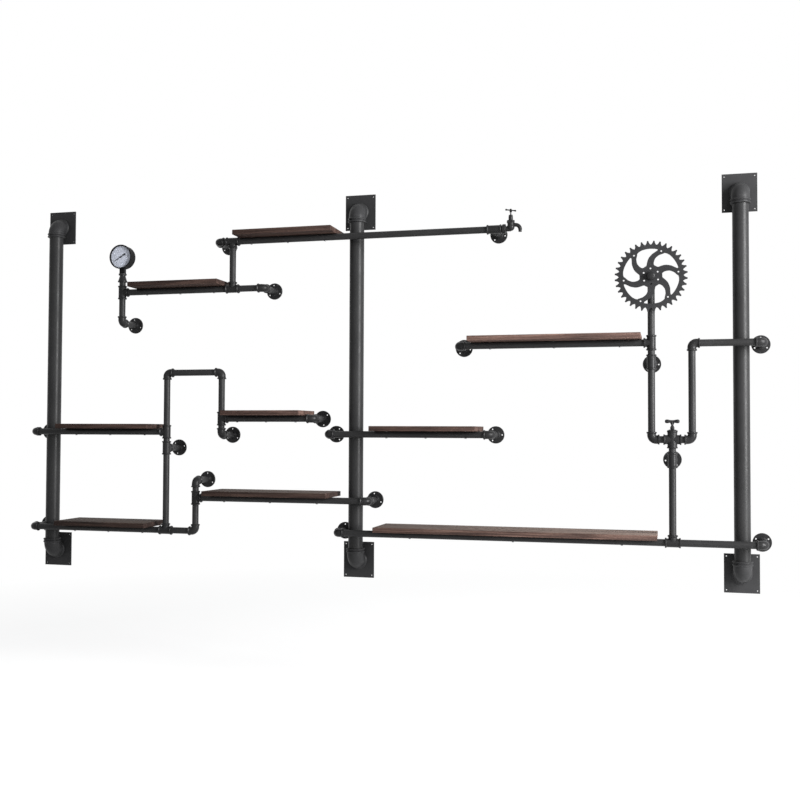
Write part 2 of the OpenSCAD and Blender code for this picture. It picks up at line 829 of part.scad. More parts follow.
module wall_plates() {
    hole_x = plate_w / 2 - plate_hole_side;
    hole_z = plate_h / 2 - plate_hole_end;
    color(paint)
        for (x = column_xs, z = [-plate_rise, plate_rise])
            translate([x, 0, z])
                rotate([90, 0, 0])
                    difference() {
                        translate([-plate_w / 2, -plate_h / 2, 0])
                            cube([plate_w, plate_h, plate_t]);
                        for (hx = [-hole_x, hole_x], hz = [-hole_z, hole_z])
                            translate([hx, hz, -over])
                                cylinder(d = plate_hole_d, h = plate_t + 2 * over);
                    }
}

module board_top_left() {
    board(span_top_left);
}

module board_middle() {
    board(span_middle);
}

module board_gauge() {
    board(span_gauge);
}

module board_left() {
    board(span_left);
}

module board_centre() {
    board(span_centre);
}

module board_right() {
    board(span_right);
}

module board_low_left() {
    board(span_low_left);
}

module board_low_centre() {
    board(span_low_centre);
}

module board_low_right() {
    board(span_low_right);
}

module rail_top() {
    color(paint)
        difference() {
            pipe_x(t3, t4);
            screw_holes(span_top_left);
        }
}

module rail_gauge() {
    color(paint)
        difference() {
            pipe_x(t1, t2);
            screw_holes(span_gauge);
        }
}

module rail_left() {
    color(paint)
        difference() {
            pipe_x(e17, t12);
            screw_holes(span_left);
        }
}

module rail_centre() {
    color(paint)
        difference() {
            pipe_x(t13, e20);
            screw_holes(span_centre);
        }
}

module rail_right() {
    color(paint)
        difference() {
            pipe_x(e4, t5);
            screw_holes(span_right);
        }
}

module rail_low_left() {
    color(paint)
        difference() {
            pipe_x(e16, t10);
            screw_holes(span_low_left);
        }
}

module rail_low_centre() {
    color(paint)
        difference() {
            pipe_x(t9, e14);
            screw_holes(span_low_centre);
        }
}

module rail_low_right() {
    color(paint)
        difference() {
            pipe_x(e9, t8);
            screw_holes(span_low_right);
        }
}

module rail_middle() {
    color(paint)
        difference() {
            pipe_x(e11, e12);
            screw_holes(span_middle);
        }
}

module risers_upper() {
    color(paint) {
        pipe_z(e1, t1);
        pipe_z(t2, t3);
    }
}

module risers_right() {
    color(paint) {
        pipe_z(t5, wheel_at);
        pipe_z(e5, t6);
        pipe_z(e6, e7);
        pipe_z(t8, t7);
    }
}

module risers_lower() {
    color(paint) {
        pipe_z(t10, t11);
        pipe_z(t12, e18);
        pipe_z(t13, e19);
        pipe_z(e15, t9);
    }
}

module link_pipes() {
    color(paint) {
        pipe_x(t2, e2);
        pipe_x(e7, e8);
        pipe_x(t8, e10);
        pipe_x(e18, e19);
        pipe_x(t10, e15);
    }
}

module close_nipples() {
    color(paint) {
        pipe_z(t1, [riser_a_x, socket_z], seat, -grip);
        pipe_x(e3, t3);
        pipe_z(t6, t5);
        pipe_x(e5, cross_at, seat, cross_seat);
        pipe_x(cross_at, e6, cross_seat, seat);
        pipe_z(t7, cross_at, seat, cross_seat);
        pipe_z(t9, e13);
        pipe_z(t11, t12);
        pipe_z(e21, t13);
    }
}

module wall_nipples() {
    color(paint)
        for (f = concat(flanges_a, flanges_b, flanges_c))
            wall_nipple(f[0]);
}

module tees_upper() {
    color(paint) {
        flat_tee(t1, to_down);
        flat_tee(t2, to_right);
        flat_tee(t3, to_left);
        wall_tee(t4, to_right);
    }
}

module tees_right() {
    color(paint) {
        flat_tee(t5, to_up);
        wall_tee(t6, to_down);
        wall_tee(t7, to_down);
        flat_tee(t8, to_right);
    }
}

module tees_lower() {
    color(paint) {
        flat_tee(t9, to_down);
        flat_tee(t10, to_right);
        wall_tee(t11, to_down);
        flat_tee(t12, to_up);
        flat_tee(t13, to_down);
    }
}

module cross_fitting() {
    color(paint)
        translate([cross_x, rail_y, cross_z])
            difference() {
                union() {
                    run_skin(cross_d / 2, cross_bead_d / 2, bead_w, cross_reach);
                    rotate([0, 90, 0])
                        run_skin(cross_d / 2 * branch_share, cross_bead_d / 2, bead_w,
                            cross_reach);
                }
                cylinder(r = pipe_bore_r, h = 2 * cross_reach + 2 * over, center = true);
                rotate([0, 90, 0])
                    cylinder(r = pipe_bore_r * branch_share, h = 2 * cross_reach + 2 * over,
                        center = true);
                for (k = [0:3])
                    rotate([0, 90 * k, 0])
                        socket_cut(socket_r, cross_seat, cross_reach);
            }
}

module elbows_upper() {
    color(paint)
        for (e = elbows_a)
            wall_elbow(e[0], e[1]);
}

module elbows_right() {
    color(paint) {
        for (e = elbows_b)
            wall_elbow(e[0], e[1]);
        flat_elbow(e5, to_right);
        flat_elbow(e6, to_up);
        flat_elbow(e7, to_down);
    }
}

module elbows_lower() {
    color(paint) {
        for (e = elbows_c)
            wall_elbow(e[0], e[1]);
        flat_elbow(e15, to_up);
        flat_elbow(e18, to_down);
        flat_elbow(e19, to_left);
    }
}

module flanges_upper() {
    color(paint)
        for (f = flanges_a)
            flange(f[0], f[1]);
}

module flanges_right() {
    color(paint)
        for (f = flanges_b)
            flange(f[0], f[1]);
}

module flanges_lower() {
    color(paint)
        for (f = flanges_c)
            flange(f[0], f[1]);
}

// Elbow behind the toothed wheel: one leg down, the other to the front
module wheel_elbow() {
    color(paint)
        translate([riser_f_x, rail_y, wheel_z])
            rotate([0, 0, 180])
                rotate([0, 90, 0])
                    small_elbow();
}

// Short pipe on which the toothed wheel turns
module wheel_nipple() {
    color(paint)
        translate([riser_f_x, rail_y - seat, wheel_z])
            rotate([90, 0, 0])
                tube(rail_y - seat - cap_y + cap_l * 0.8);
}

function polar(r, a) = [r * cos(a), r * sin(a)];

// Distance of an arm's points from the wheel's centre
function arm_r(k) = wheel_hub_r + (ring_r - wheel_hub_r) * arm_shares[k][0];

// Angles of an arm's two sides at one of its points, the far side first
function arm_angles(k) =
    let(middle = arm_turn - arm_sweep * arm_shares[k][2],
        half = arm_shares[k][1] * arm_w / 2 / arm_r(k) * 180 / PI)
    [middle + half, middle - half];

// Steps of the round sides of an opening between two arms
arc_steps = 10;

// Opening between the first arm and the next one
module arm_window() {
    last = len(arm_shares) - 1;
    next = 360 / arms;
    low = arm_angles(0);
    high = arm_angles(last);
    polygon(concat(
        [for (k = [0:arc_steps]) polar(wheel_hub_r,
            low[0] + (low[1] + next - low[0]) * k / arc_steps)],
        [for (k = [1:last - 1]) polar(arm_r(k), arm_angles(k)[1] + next)],
        [for (k = [arc_steps:-1:0]) polar(ring_r,
            high[0] + (high[1] + next - high[0]) * k / arc_steps)],
        [for (k = [last - 1:-1:1]) polar(arm_r(k), arm_angles(k)[0])]));
}

module toothed_wheel() {
    pitch = 360 / teeth;
    color(paint_light)
        translate([riser_f_x, wheel_face_y, wheel_z])
            rotate([90, 0, 0])
                difference() {
                    linear_extrude(height = wheel_t)
                        polygon([for (k = [0:teeth - 1], p = tooth_shares)
                            polar(root_r + tooth_h * p[1], pitch * (k + 0.5 + p[0]))]);
                    translate([0, 0, -over])
                        cylinder(r = pipe_r + fit_gap, h = wheel_t + 2 * over);
                    for (k = [0:arms - 1])
                        rotate([0, 0, 360 / arms * k]) {
                            translate([0, 0, -over])
                                linear_extrude(height = wheel_t + 2 * over)
                                    arm_window();
                            rotate([0, 0, arm_turn])
                                translate([hub_hole_r, 0, -over])
                                    cylinder(d = wheel_hole_d, h = wheel_t + 2 * over);
                            rotate([0, 0, arm_turn - arm_sweep])
                                translate([ring_hole_r, 0, -over])
                                    cylinder(d = wheel_hole_d, h = wheel_t + 2 * over);
                        }
                }
}

// Domed cap that keeps the toothed wheel on its pipe
module wheel_cap() {
    floor = cap_l * 0.8;
    color(paint_light)
        translate([riser_f_x, cap_y, wheel_z])
            rotate([90, 0, 0])
                difference() {
                    rotate_extrude()
                        polygon(concat([[0, 0], [cap_r, 0]],
                            [for (a = [0:10:90]) [cap_r * cos(a), cap_l + cap_dome * sin(a)]]));
                    translate([0, 0, -over])
                        cylinder(r = socket_r, h = floor + over);
                }
}

// Reducing socket between the pipe and the gauge's stem
module gauge_socket() {
    foot_r = socket_foot_d / 2;
    top_r = socket_top_d / 2;
    waist_r = stem_thread_d / 2 * 1.2;
    thread_r = stem_thread_d / 2 + fit_gap;
    color(paint)
        translate([riser_a_x, rail_y, socket_z])
            difference() {
                rotate_extrude()
                    polygon([[0, 0], [foot_r - 1.5 * gauge_wall / 2, 0],
                        [foot_r, bead_w / 4], [foot_r, bead_w * 0.9],
                        [foot_r - gauge_wall, bead_w * 1.2], [waist_r, socket_h * 0.68],
                        [waist_r, socket_h * 0.78], [top_r - gauge_wall / 2, socket_h * 0.8],
                        [top_r, socket_h * 0.83], [top_r, socket_h * 0.97],
                        [top_r - gauge_wall / 2, socket_h], [0, socket_h]]);
                translate([0, 0, -over])
                    cylinder(r = stem_thread_d / 3, h = socket_h + 2 * over);
                translate([0, 0, -over])
                    cylinder(r = socket_r, h = grip + over);
                translate([0, 0, socket_h * 0.68])
                    cylinder(r = thread_r, h = socket_h);
            }
}

// Round case with its stem; the dial lies on the ledge inside
module gauge_case() {
    ledge_r = gauge_r - ledge_w;
    post_h = gauge_depth - ledge_depth - gauge_wall;
    thread_h = socket_h * 0.32;
    color(paint)
        difference() {
            union() {
                difference() {
                    translate([riser_a_x, gauge_back_y, gauge_z])
                        rotate([90, 0, 0])
                            cylinder(r = gauge_r, h = gauge_depth);
                    translate([riser_a_x, dial_y, gauge_z])
                        rotate([90, 0, 0])
                            cylinder(r = gauge_r - gauge_wall, h = gauge_depth);
                    translate([riser_a_x, gauge_back_y - gauge_wall, gauge_z])
                        rotate([90, 0, 0])
                            cylinder(r = ledge_r, h = gauge_depth);
                }
                translate([riser_a_x, gauge_back_y - gauge_wall / 2, gauge_z])
                    rotate([90, 0, 0])
                        cylinder(r = stem_w / 4, h = post_h + gauge_wall / 2);
                translate([riser_a_x - stem_w / 2, rail_y - stem_w * 0.4, socket_top_z])
                    cube([stem_w, stem_w * 0.8, stem_h + ledge_w]);
                translate([riser_a_x, rail_y, socket_top_z - thread_h])
                    cylinder(r = stem_thread_d / 2, h = thread_h + over);
            }
            translate([riser_a_x, dial_y + post_h / 2, gauge_z])
                rotate([90, 0, 0])
                    cylinder(r = pointer_shaft_r + fit_gap, h = post_h);
        }
}

module gauge_dial() {
    color(dial_grey)
        translate([riser_a_x, dial_y, gauge_z])
            rotate([90, 0, 0])
                difference() {
                    cylinder(r = gauge_r - gauge_wall * 1.15, h = dial_t);
                    translate([0, 0, -over])
                        cylinder(r = pointer_shaft_r * 1.4, h = dial_t + 2 * over);
                }
}

// Pointer with its hub, round tail and spindle
module gauge_pointer() {
    shaft_l = (gauge_depth - ledge_depth - gauge_wall) / 2;
    lift = dial_t * 1.3;
    left = [for (p = pointer_shares) [pointer_l * p[0], pointer_shaft_d * p[1]]];
    right = [for (k = [len(left) - 1:-1:0]) [left[k][0], -left[k][1]]];
    color(paint)
        translate([riser_a_x, dial_y, gauge_z])
            rotate([90, 0, 0])
                rotate([0, 0, pointer_turn]) {
                    translate([0, 0, lift])
                        cylinder(r = pointer_shaft_d * 1.6, h = dial_t * 3);
                    translate([0, 0, 2 * lift])
                        linear_extrude(height = pointer_t)
                            polygon(concat(left, right));
                    translate([-pointer_l / 2, 0, 2 * lift])
                        cylinder(d = pointer_ball_d, h = pointer_t);
                    translate([0, 0, -shaft_l * 0.9])
                        cylinder(r = pointer_shaft_r, h = shaft_l * 0.9 + 2 * lift);
                }
}

module gauge_glass() {
    color(glass_tint)
        translate([riser_a_x, gauge_front_y, gauge_z])
            rotate([90, 0, 0])
                cylinder(r = gauge_r - gauge_wall / 4, h = glass_t);
}

// Ring that holds the glass on the case
module gauge_bezel() {
    r = gauge_bezel_d / 2;
    inner_r = r - gauge_bezel_w;
    skirt = gauge_wall * 2.5;
    lip = gauge_wall;
    c = gauge_wall / 2;
    color(paint)
        translate([riser_a_x, gauge_front_y + skirt, gauge_z])
            rotate([90, 0, 0])
                rotate_extrude()
                    polygon([[gauge_r + fit_gap, 0], [r - c, 0], [r, c],
                        [r, skirt + glass_t + lip - c], [r - c, skirt + glass_t + lip],
                        [inner_r + c, skirt + glass_t + lip], [inner_r, skirt + glass_t + lip - c],
                        [inner_r, skirt + glass_t], [gauge_r + fit_gap, skirt + glass_t]]);
}

// Tap body: threaded end, collar, round body, spout and its waterways
module tap_body() {
    collar_r = tap_collar_d / 2;
    c = tap_collar_l / 8;
    color(paint)
        translate([tap_x, rail_y, top_rail_z])
            difference() {
                union() {
                    translate([-grip, 0, 0])
                        rotate([0, 90, 0])
                            cylinder(r = pipe_r, h = grip + tap_thread_l + c);
                    translate([tap_thread_l, 0, 0])
                        rotate([0, 90, 0])
                            rotate_extrude()
                                polygon([[0, 0], [collar_r - c, 0], [collar_r, c],
                                    [collar_r, tap_collar_l - c], [collar_r - c, tap_collar_l],
                                    [0, tap_collar_l]]);
                    rotate([0, 90, 0])
                        cylinder(d = tap_neck_d, h = tap_axis_out);
                    translate([tap_axis_out, 0, tap_bulb_rise])
                        rotate_extrude()
                            polygon(concat([[0, -tap_bulb_r * sin(80)]],
                                [for (a = [-80:11:30]) polar(tap_bulb_r, a)],
                                [[tap_bulb_r * cos(30), tap_top_z - tap_bulb_rise],
                                [0, tap_top_z - tap_bulb_rise]]));
                    translate([tap_axis_out, 0, spout_z])
                        rotate([0, 90, 0])
                            cylinder(r = spout_r, h = spout_out - spout_bend_r);
                    spout_bend(spout_r);
                    translate([tap_axis_out + spout_out, 0, spout_z - spout_bend_r])
                        rotate([180, 0, 0])
                            rotate_extrude()
                                polygon([[0, 0], [spout_r, 0],
                                    [spout_r * 0.87, spout_mouth_l * 0.45],
                                    [spout_r * 0.85, spout_mouth_l * 0.7],
                                    [spout_r * 0.92, spout_mouth_l], [0, spout_mouth_l]]);
                }
                translate([-grip - over, 0, 0])
                    rotate([0, 90, 0])
                        cylinder(d = tap_way_d, h = grip + tap_axis_out + tap_seat_d / 2 + over);
                translate([tap_axis_out, 0, -tap_seat_d / 4])
                    cylinder(d = tap_seat_d, h = tap_top_z);
                translate([tap_axis_out, 0, tap_seat_z])
                    cylinder(r = tap_chamber_r, h = tap_top_z);
                translate([tap_axis_out, 0, spout_z])
                    rotate([0, 90, 0])
                        cylinder(r = spout_bore_r, h = spout_out - spout_bend_r);
                spout_bend(spout_bore_r);
                translate([tap_axis_out + spout_out, 0, spout_z - spout_bend_r])
                    rotate([180, 0, 0])
                        cylinder(r = spout_bore_r, h = spout_mouth_l + over);
            }
}

// Quarter bend of the spout, from level to straight down
module spout_bend(r) {
    translate([tap_axis_out + spout_out - spout_bend_r, 0, spout_z - spout_bend_r])
        rotate([90, 0, 0])
            rotate_extrude(angle = 90)
                translate([spout_bend_r, 0])
                    circle(r = r);
}

// Bonnet with its hexagon, neck and gland nut
module tap_bonnet() {
    hex_top = tap_top_z + tap_hex_h;
    neck_top = hex_top + tap_bonnet_h;
    gland_top = neck_top + tap_gland_h;
    c = tap_gland_h / 8;
    color(paint)
        translate([tap_x + tap_axis_out, rail_y, top_rail_z])
            difference() {
                union() {
                    rotate_extrude()
                        polygon([[0, tap_top_z - tap_spigot_l],
                            [tap_chamber_r - fit_gap, tap_top_z - tap_spigot_l],
                            [tap_chamber_r - fit_gap, tap_top_z + c],
                            [tap_bonnet_d / 2, tap_top_z + c], [tap_bonnet_d / 2, neck_top],
                            [tap_gland_d / 2, neck_top], [tap_gland_d / 2, gland_top - c],
                            [tap_gland_d / 2 - c, gland_top], [0, gland_top]]);
                    translate([0, 0, tap_top_z])
                        cylinder(d = tap_hex_w, h = tap_hex_h, $fn = 6);
                }
                translate([0, 0, tap_top_z - tap_spigot_l - over])
                    cylinder(r = tap_spindle_r + fit_gap,
                        h = gland_top - tap_top_z + tap_spigot_l + 2 * over);
            }
}

// Washer holder that lies over the seat and lifts with the spindle
module tap_jumper() {
    top = tap_washer_t + tap_pin_l;
    color(steel)
        translate([tap_x + tap_axis_out, rail_y, top_rail_z + tap_seat_z + tap_play])
            rotate_extrude()
                polygon([[0, 0], [tap_washer_d / 2, 0], [tap_washer_d / 2, tap_washer_t],
                    [tap_pin_d / 2, tap_washer_t], [tap_pin_d / 2, top], [0, top]]);
}

// Spindle with its collar, in which the jumper's pin stands
module tap_spindle() {
    low = tap_seat_z + tap_washer_t + 2 * tap_play;
    top = tap_bar_rise - tap_ball_d / 4;
    color(steel)
        translate([tap_x + tap_axis_out, rail_y, top_rail_z])
            difference() {
                rotate_extrude()
                    polygon([[0, low], [tap_stop_d / 2, low], [tap_stop_d / 2, low + tap_stop_t],
                        [tap_spindle_r, low + tap_stop_t], [tap_spindle_r, top], [0, top]]);
                translate([0, 0, low - over])
                    cylinder(r = tap_pin_d / 2 + fit_gap, h = tap_pin_l + over);
            }
}

// Cross bar handle with a ball at each end
module tap_handle() {
    low = tap_bar_rise - tap_ball_d;
    ball = tap_ball_d / 2;
    half = tap_bar_l / 2;
    neck = acos(tap_bar_d / tap_ball_d);
    color(paint)
        translate([tap_x + tap_axis_out, rail_y, top_rail_z])
            difference() {
                union() {
                    rotate_extrude()
                        polygon(concat([[0, low], [tap_bar_d, low]],
                            [for (a = [0:15:75]) [tap_bar_d * cos(a),
                                low + tap_ball_d * 1.2 + tap_bar_d * sin(a)]],
                            [[0, low + tap_ball_d * 1.2 + tap_bar_d * sin(75)]]));
                    translate([0, 0, tap_bar_rise])
                        rotate([0, 0, tap_bar_turn])
                            rotate([0, 90, 0])
                                rotate_extrude()
                                    polygon(concat([[0, -half - ball]],
                                        [for (side = [-1, 1]) for (k = [-4:4])
                                            [ball * cos(k * neck / 4),
                                            ball * sin(k * neck / 4) + side * half]],
                                        [[0, half + ball]]));
                }
                translate([0, 0, low - over])
                    cylinder(r = tap_spindle_r + fit_gap, h = tap_ball_d * 0.75 + over);
            }
}

// Valve bonnet in the top of the cross, with its pear shaped gland
module valve_bonnet() {
    rim_r = cross_bead_d / 2;
    color(paint)
        translate([cross_x, rail_y, cross_z])
            difference() {
                union() {
                    translate([0, 0, cross_seat])
                        cylinder(r = pipe_r, h = grip + valve_rim_h);
                    translate([0, 0, cross_reach])
                        rotate_extrude()
                            polygon(concat([[0, 0], [rim_r, 0], [rim_r, valve_rim_h],
                                [valve_cone_d / 2, valve_cone_h]],
                                [for (p = gland_shares) [valve_gland_d / 2 * p[0],
                                    valve_cone_h + valve_gland_h * p[1]]],
                                [[0, valve_cone_h + valve_gland_h]]));
                }
                translate([0, 0, cross_seat - over])
                    cylinder(r = valve_r + fit_gap, h = gland_top_z - cross_seat + 2 * over);
            }
}

// Spindle of the wing valve, with the collar that holds it down
module valve_spindle() {
    collar = cross_seat - valve_play;
    color(steel)
        translate([cross_x, rail_y, cross_z])
            rotate_extrude()
                polygon([[0, collar - valve_stop_t], [valve_stop_d / 2, collar - valve_stop_t],
                    [valve_stop_d / 2, collar], [valve_r, collar], [valve_r, wing_floor_z],
                    [0, wing_floor_z]]);
}

// Handle with two round wings on a tapered web
module valve_handle() {
    half = wing_w / 2;
    neck_r = wing_neck_d / 2;
    web = wing_web_w / 2;
    ends = [for (p = wing_shares) [wing_r * p[1], half * p[0]]];
    back = [for (k = [len(ends) - 1:-1:1]) [ends[k][0], -ends[k][1]]];
    color(paint)
        translate([cross_x, rail_y, cross_z])
            difference() {
                union() {
                    translate([0, 0, wing_low_z])
                        cylinder(r = neck_r, h = wing_rise - wing_low_z);
                    translate([0, wing_web_t / 2, 0])
                        rotate([90, 0, 0])
                            linear_extrude(height = wing_web_t)
                                polygon([[-neck_r * 0.9, wing_low_z], [neck_r * 0.9, wing_low_z],
                                    [web, wing_rise], [-web, wing_rise]]);
                    translate([0, 0, wing_rise])
                        rotate([0, 90, 0])
                            rotate_extrude()
                                polygon(concat([[0, -half]], back, ends, [[0, half]]));
                }
                translate([0, 0, wing_low_z - over])
                    cylinder(r = valve_r + fit_gap, h = wing_floor_z - wing_low_z + over);
            }
}

// Screws that hold the boards on their rails
module board_screws() {
    color(steel)
        for (s = spans)
            screws(s);
}

column_left();
column_middle();
column_right();
column_elbows();
column_nipples();
wall_plates();
board_top_left();
board_middle();
board_gauge();
board_left();
board_centre();
board_right();
board_low_left();
board_low_centre();
board_low_right();
rail_top();
rail_gauge();
rail_left();
rail_centre();
rail_right();
rail_low_left();
rail_low_centre();
rail_low_right();
rail_middle();
risers_upper();
risers_right();
risers_lower();
link_pipes();
close_nipples();
wall_nipples();
tees_upper();
tees_right();
tees_lower();
cross_fitting();
elbows_upper();
elbows_right();
elbows_lower();
flanges_upper();
flanges_right();
flanges_lower();
wheel_elbow();
wheel_nipple();
toothed_wheel();
wheel_cap();
gauge_socket();
gauge_case();
gauge_dial();
gauge_pointer();
gauge_glass();
gauge_bezel();
tap_body();
tap_bonnet();
tap_jumper();
tap_spindle();
tap_handle();
valve_bonnet();
valve_spindle();
valve_handle();
board_screws();
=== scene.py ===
import math

import bmesh
import bpy
from mathutils import Matrix, Vector


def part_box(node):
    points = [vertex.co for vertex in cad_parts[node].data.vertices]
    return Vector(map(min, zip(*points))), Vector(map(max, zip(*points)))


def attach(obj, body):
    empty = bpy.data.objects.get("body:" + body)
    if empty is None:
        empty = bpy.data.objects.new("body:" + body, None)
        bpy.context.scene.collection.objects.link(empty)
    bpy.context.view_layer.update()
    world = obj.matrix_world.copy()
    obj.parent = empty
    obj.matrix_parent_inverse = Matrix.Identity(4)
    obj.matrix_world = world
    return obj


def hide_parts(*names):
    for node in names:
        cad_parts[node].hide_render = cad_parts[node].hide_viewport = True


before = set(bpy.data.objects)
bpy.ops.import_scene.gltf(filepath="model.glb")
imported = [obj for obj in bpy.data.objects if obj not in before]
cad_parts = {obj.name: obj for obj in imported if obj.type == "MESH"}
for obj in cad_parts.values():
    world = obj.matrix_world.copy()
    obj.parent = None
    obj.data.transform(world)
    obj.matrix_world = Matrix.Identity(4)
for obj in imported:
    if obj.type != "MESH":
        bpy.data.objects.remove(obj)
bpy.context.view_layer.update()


# Columns.
# Three lengths of thick drawn steel pipe with the matt charcoal paint of the whole unit.
# The paint lies in a thin even coat, so only a faint unevenness and the soft gloss show.
def new_finish(name):
    finish = bpy.data.materials.new(name)
    finish.use_nodes = True
    finish.node_tree.nodes.clear()
    return finish, finish.node_tree.nodes, finish.node_tree.links


def object_noise(nodes, links, scale, detail, stretch=(1, 1, 1), start=(0, 0, 0), distortion=0.0):
    place = nodes.new("ShaderNodeTexCoord")
    fit = nodes.new("ShaderNodeMapping")
    fit.inputs["Location"].default_value = start
    fit.inputs["Scale"].default_value = stretch
    links.new(place.outputs["Object"], fit.inputs["Vector"])
    noise = nodes.new("ShaderNodeTexNoise")
    noise.inputs["Scale"].default_value = scale
    noise.inputs["Detail"].default_value = detail
    noise.inputs["Distortion"].default_value = distortion
    links.new(fit.outputs["Vector"], noise.inputs["Vector"])
    return noise.outputs["Fac"]


def ramp(nodes, links, value, stops):
    band = nodes.new("ShaderNodeValToRGB")
    while len(band.color_ramp.elements) < len(stops):
        band.color_ramp.elements.new(0.5)
    for element, (position, color) in zip(band.color_ramp.elements, stops):
        element.position = position
        element.color = (*color, 1)
    links.new(value, band.inputs["Fac"])
    return band.outputs["Color"]


def spread(nodes, links, value, low, high):
    span = nodes.new("ShaderNodeMapRange")
    span.inputs["From Min"].default_value = 0.3
    span.inputs["From Max"].default_value = 0.7
    span.inputs["To Min"].default_value = low
    span.inputs["To Max"].default_value = high
    links.new(value, span.inputs["Value"])
    return span.outputs["Result"]


def blend_color(nodes, links, factor, first, second, way="MIX"):
    mix = nodes.new("ShaderNodeMix")
    mix.data_type = "RGBA"
    mix.blend_type = way
    if isinstance(factor, float):
        mix.inputs["Factor"].default_value = factor
    else:
        links.new(factor, mix.inputs["Factor"])
    for socket, color in ((mix.inputs["A"], first), (mix.inputs["B"], second)):
        if isinstance(color, tuple):
            socket.default_value = (*color, 1)
        else:
            links.new(color, socket)
    return mix.outputs["Result"]


def raise_bumps(nodes, links, heights):
    under = None
    for height, depth in heights:
        bump = nodes.new("ShaderNodeBump")
        bump.inputs["Strength"].default_value = 1
        bump.inputs["Distance"].default_value = depth
        links.new(height, bump.inputs["Height"])
        if under is not None:
            links.new(under, bump.inputs["Normal"])
        under = bump.outputs["Normal"]
    return under


def surface(nodes, links, color, roughness, normal, metallic=0.0):
    shader = nodes.new("ShaderNodeBsdfPrincipled")
    shader.inputs["Metallic"].default_value = metallic
    out = nodes.new("ShaderNodeOutputMaterial")
    for name, value in (("Base Color", color), ("Roughness", roughness)):
        if isinstance(value, tuple):
            shader.inputs[name].default_value = (*value, 1)
        else:
            links.new(value, shader.inputs[name])
    if normal is not None:
        links.new(normal, shader.inputs["Normal"])
    links.new(shader.outputs["BSDF"], out.inputs["Surface"])
    return shader


# Share of a mask that shows: its grey value times the share.
def part_of(nodes, links, mask, share):
    part = nodes.new("ShaderNodeMath")
    part.operation = "MULTIPLY"
    part.inputs[1].default_value = share
    links.new(mask, part.inputs[0])
    return part.outputs[0]


def toned(tone, times):
    return tuple(c * times for c in tone)


BLACK, WHITE = (0, 0, 0), (1, 1, 1)
# Noise scales of the paint: drift of tone, dust, patches of gloss, powder grain and mould sand
DRIFT, DUST, SHEEN, POWDER, SAND = 7, 190, 34, 1400, 260
DUST_SHARE, DUST_TONE = 0.35, 2.4


# Paint: a charcoal coat whose tone drifts along the pipe, with lighter specks and a powder grain.
def paint(name, tone, powder, cast, gloss, shine=0.14):
    finish, nodes, links = new_finish(name)
    drift = object_noise(nodes, links, DRIFT, 4)
    specks = object_noise(nodes, links, DUST, 5)
    base = ramp(nodes, links, drift, [
        (0.25, toned(tone, 0.78)), (0.55, tone), (0.8, toned(tone, 1.28))])
    dust = ramp(nodes, links, specks, [(0.62, BLACK), (0.8, WHITE)])
    dusty = part_of(nodes, links, dust, DUST_SHARE)
    color = blend_color(nodes, links, dusty, base, toned(tone, DUST_TONE))
    sheen = object_noise(nodes, links, SHEEN, 4)
    rough = spread(nodes, links, sheen, gloss - 0.05, gloss + 0.09)
    fine = object_noise(nodes, links, POWDER, 2)
    lumps = object_noise(nodes, links, SAND, 3)
    skin = raise_bumps(nodes, links, [(fine, powder), (lumps, cast)])
    shader = surface(nodes, links, color, rough, skin)
    shader.inputs["Specular IOR Level"].default_value = shine
    return finish


pipe_paint = paint("pipe_paint", (0.0215, 0.0215, 0.022),
                   powder=0.00003, cast=0.00002, gloss=0.37)


def coat(finish, *names):
    for name in names:
        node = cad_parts[name]
        node.data.materials.clear()
        node.data.materials.append(finish)


coat(pipe_paint, "column_left", "column_middle", "column_right", "column_nipples")

# Column elbows and wall plates.
# The elbows are malleable iron castings with beaded mouths, rough from the mould under the paint.
# The plates are cut from flat steel and take the four wall screws.
elbow_paint = paint("elbow_paint", (0.026, 0.026, 0.027),
                    powder=0.00005, cast=0.00012, gloss=0.42)
plate_paint = paint("plate_paint", (0.026, 0.026, 0.027),
                    powder=0.00005, cast=0.00006, gloss=0.54)
coat(elbow_paint, "column_elbows")
coat(plate_paint, "wall_plates")

# Thin pipes.
# Rails, risers and short nipples of thin steel pipe, screwed into the fittings at both ends.
threaded_pipes = (
    "rail_top", "rail_gauge", "rail_left", "rail_centre", "rail_right", "rail_low_left",
    "rail_low_centre", "rail_low_right", "rail_middle", "risers_upper", "risers_right",
    "risers_lower", "link_pipes", "wall_nipples")
coat(pipe_paint, *threaded_pipes, "close_nipples", "wheel_nipple")


# The last turns of each pipe's thread stay in sight where it goes into a fitting.
# A node of several pipes is taken apart first, and gives the box of each.
def pipe_solids(name):
    mesh = bmesh.new()
    mesh.from_mesh(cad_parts[name].data)
    bmesh.ops.remove_doubles(mesh, verts=mesh.verts, dist=0.00001)
    left, solids = set(mesh.verts), []
    while left:
        start = left.pop()
        island, edge = {start}, [start]
        while edge:
            for link in edge.pop().link_edges:
                for vert in link.verts:
                    if vert in left:
                        left.discard(vert)
                        island.add(vert)
                        edge.append(vert)
        low = Vector(min(v.co[k] for v in island) for k in range(3))
        high = Vector(max(v.co[k] for v in island) for k in range(3))
        solids.append((low, high))
    mesh.free()
    return sorted(solids, key=lambda box: tuple(box[0]))


def only(piece):
    bpy.ops.object.select_all(action="DESELECT")
    piece.select_set(True)
    bpy.context.view_layer.objects.active = piece


def apply_all(piece):
    only(piece)
    for modifier in list(piece.modifiers):
        bpy.ops.object.modifier_apply(modifier=modifier.name)


def set_place(piece):
    only(piece)
    bpy.ops.object.transform_apply(location=True, rotation=True, scale=True)


